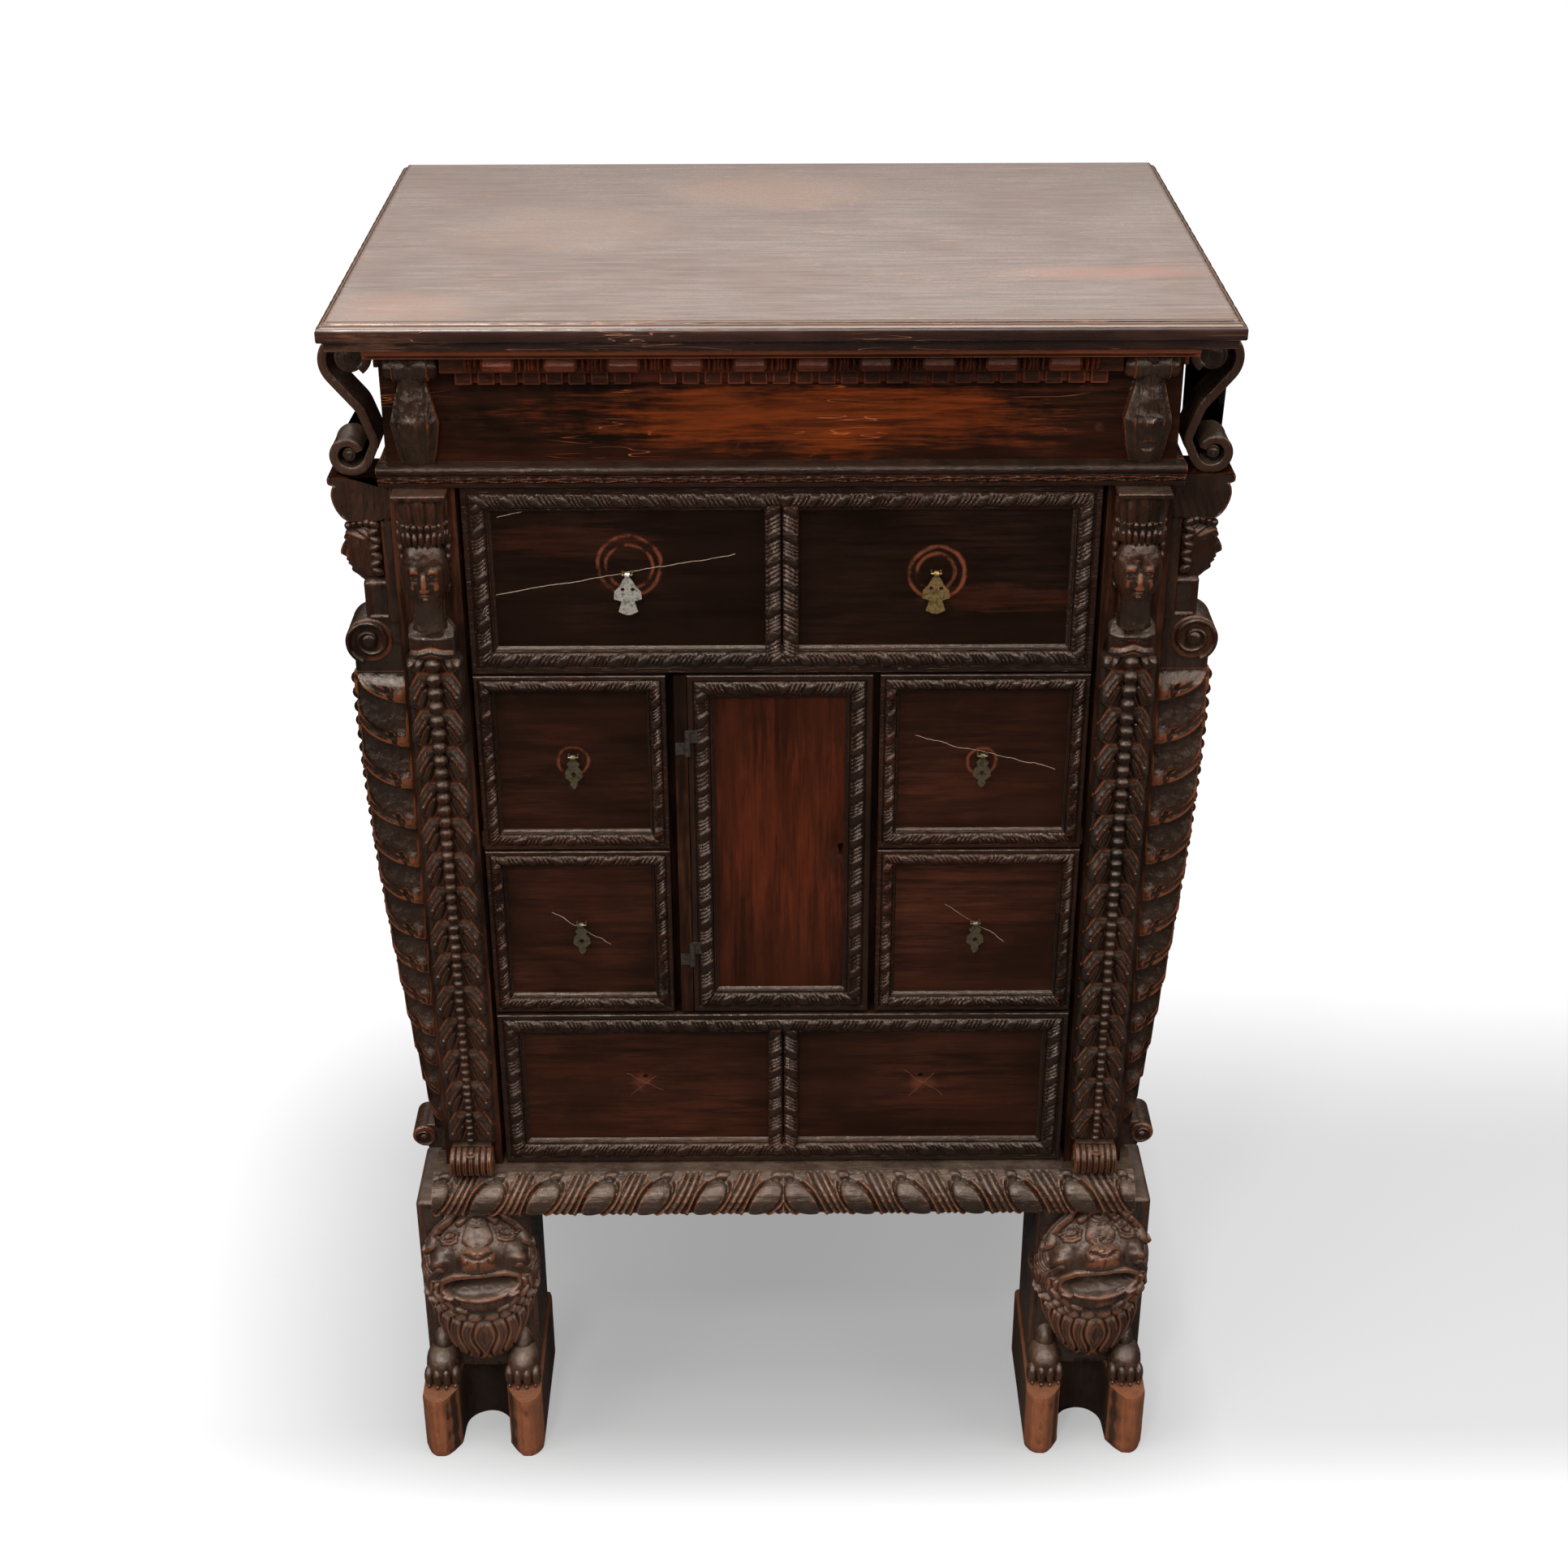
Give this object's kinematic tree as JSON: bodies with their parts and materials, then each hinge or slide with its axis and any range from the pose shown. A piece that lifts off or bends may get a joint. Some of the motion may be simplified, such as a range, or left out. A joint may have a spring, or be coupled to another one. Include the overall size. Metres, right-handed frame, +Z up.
{
  "type": "carved drawer cabinet",
  "caption": "Small carved walnut cabinet with drawers, a central locked door, herm pilasters and lion feet.",
  "frame": {"origin": "on the floor under the middle of the bounding box", "axes": "+Z up, front and drawers towards -Y, +X to the right of someone facing the front"},
  "size_m": [0.768, 0.535, 1.18],
  "materials": {
    "top_wood": "waxed old walnut, grain along X, worn and scratched, satin gloss",
    "panel_wood": "dark waxed walnut panel, red-brown where rubbed",
    "carved_wood": "carved walnut, near black in the hollows, worn to red-brown on the edges",
    "inner_wood": "dry unfinished secondary wood",
    "iron": "old forged iron, dull brown patina",
    "pewter": "worn silvered metal",
    "brass": "tarnished brass"
  },
  "bodies": {
    "cabinet": {"top_board": "top_wood", "cornice_moulding": "carved_wood", "dentil_course": "carved_wood", "frieze_board": "panel_wood", "ledge_moulding": "carved_wood", "side_panel_left": "panel_wood", "side_panel_right": "panel_wood", "back_panel": "inner_wood", "bottom_board": "inner_wood", "ceiling_board": "inner_wood", "upper_divider": "inner_wood", "lower_divider": "inner_wood", "partitions": "inner_wood", "drawer_shelves": "inner_wood", "drawer_guides": "inner_wood", "front_stiles": "carved_wood", "hinge_stile": "panel_wood", "base_moulding": "carved_wood", "herm_front_left": "carved_wood", "herm_front_right": "carved_wood", "herm_side_left": "carved_wood", "herm_side_right": "carved_wood", "herms_rear": "carved_wood", "brackets_front": "panel_wood", "brackets_side": "carved_wood", "brackets_rear": "carved_wood", "lion_foot_left": "carved_wood", "lion_foot_right": "carved_wood", "rear_feet": "carved_wood", "hinge_pins": "iron"},
    "top_drawer": {"top_drawer_front": "panel_wood", "top_drawer_frame": "carved_wood", "top_drawer_box": "inner_wood", "top_drawer_staples": "iron"},
    "winged_pull_left": {"winged_pull_left": "pewter"},
    "winged_pull_right": {"winged_pull_right": "brass"},
    "bottom_drawer": {"bottom_drawer_front": "panel_wood", "bottom_drawer_frame": "carved_wood", "bottom_drawer_box": "inner_wood"},
    "upper_left_drawer": {"upper_left_front": "panel_wood", "upper_left_box": "inner_wood", "upper_left_staple": "iron"},
    "upper_left_pull": {"upper_left_pull": "brass"},
    "lower_left_drawer": {"lower_left_front": "panel_wood", "lower_left_box": "inner_wood", "lower_left_staple": "iron"},
    "lower_left_pull": {"lower_left_pull": "brass"},
    "upper_right_drawer": {"upper_right_front": "panel_wood", "upper_right_box": "inner_wood", "upper_right_staple": "iron"},
    "upper_right_pull": {"upper_right_pull": "brass"},
    "lower_right_drawer": {"lower_right_front": "panel_wood", "lower_right_box": "inner_wood", "lower_right_staple": "iron"},
    "lower_right_pull": {"lower_right_pull": "brass"},
    "door": {"door_board": "panel_wood", "door_frame": "carved_wood", "hinge_eyes": "iron", "door_lock": "iron"},
    "lock_bolt": {"lock_bolt": "iron"}
  },
  "joints": [
    {"name": "top_drawer_slide", "type": "slide", "parent": "cabinet", "child": "top_drawer", "axis": [0, -1, 0], "range_m": [0, 0.3]},
    {"name": "winged_pull_left_swing", "type": "hinge", "parent": "top_drawer", "child": "winged_pull_left", "pos_m": [-0.132, -0.2025, 0.94592], "axis": [-1, 0, 0], "range_deg": [-7, 100]},
    {"name": "winged_pull_right_swing", "type": "hinge", "parent": "top_drawer", "child": "winged_pull_right", "pos_m": [0.132, -0.2025, 0.94592], "axis": [-1, 0, 0], "range_deg": [-7, 100]},
    {"name": "bottom_drawer_slide", "type": "slide", "parent": "cabinet", "child": "bottom_drawer", "axis": [0, -1, 0], "range_m": [0, 0.3]},
    {"name": "upper_left_drawer_slide", "type": "slide", "parent": "cabinet", "child": "upper_left_drawer", "axis": [0, -1, 0], "range_m": [0, 0.3]},
    {"name": "upper_left_pull_swing", "type": "hinge", "parent": "upper_left_drawer", "child": "upper_left_pull", "pos_m": [-0.186, -0.2025, 0.76996], "axis": [-1, 0, 0], "range_deg": [-7, 100]},
    {"name": "lower_left_drawer_slide", "type": "slide", "parent": "cabinet", "child": "lower_left_drawer", "axis": [0, -1, 0], "range_m": [0, 0.3]},
    {"name": "lower_left_pull_swing", "type": "hinge", "parent": "lower_left_drawer", "child": "lower_left_pull", "pos_m": [-0.186, -0.2025, 0.5952], "axis": [-1, 0, 0], "range_deg": [-7, 100]},
    {"name": "upper_right_drawer_slide", "type": "slide", "parent": "cabinet", "child": "upper_right_drawer", "axis": [0, -1, 0], "range_m": [0, 0.3]},
    {"name": "upper_right_pull_swing", "type": "hinge", "parent": "upper_right_drawer", "child": "upper_right_pull", "pos_m": [0.178, -0.2025, 0.76996], "axis": [-1, 0, 0], "range_deg": [-7, 100]},
    {"name": "lower_right_drawer_slide", "type": "slide", "parent": "cabinet", "child": "lower_right_drawer", "axis": [0, -1, 0], "range_m": [0, 0.3]},
    {"name": "lower_right_pull_swing", "type": "hinge", "parent": "lower_right_drawer", "child": "lower_right_pull", "pos_m": [0.178, -0.2025, 0.5952], "axis": [-1, 0, 0], "range_deg": [-7, 100]},
    {"name": "door_swing", "type": "hinge", "parent": "cabinet", "child": "door", "pos_m": [-0.08375, -0.2054, 0.67475], "axis": [0, 0, -1], "range_deg": [0, 95]},
    {"name": "lock_bolt_throw", "type": "slide", "parent": "door", "child": "lock_bolt", "axis": [1, 0, 0], "range_m": [0, 0.012]}
  ]
}
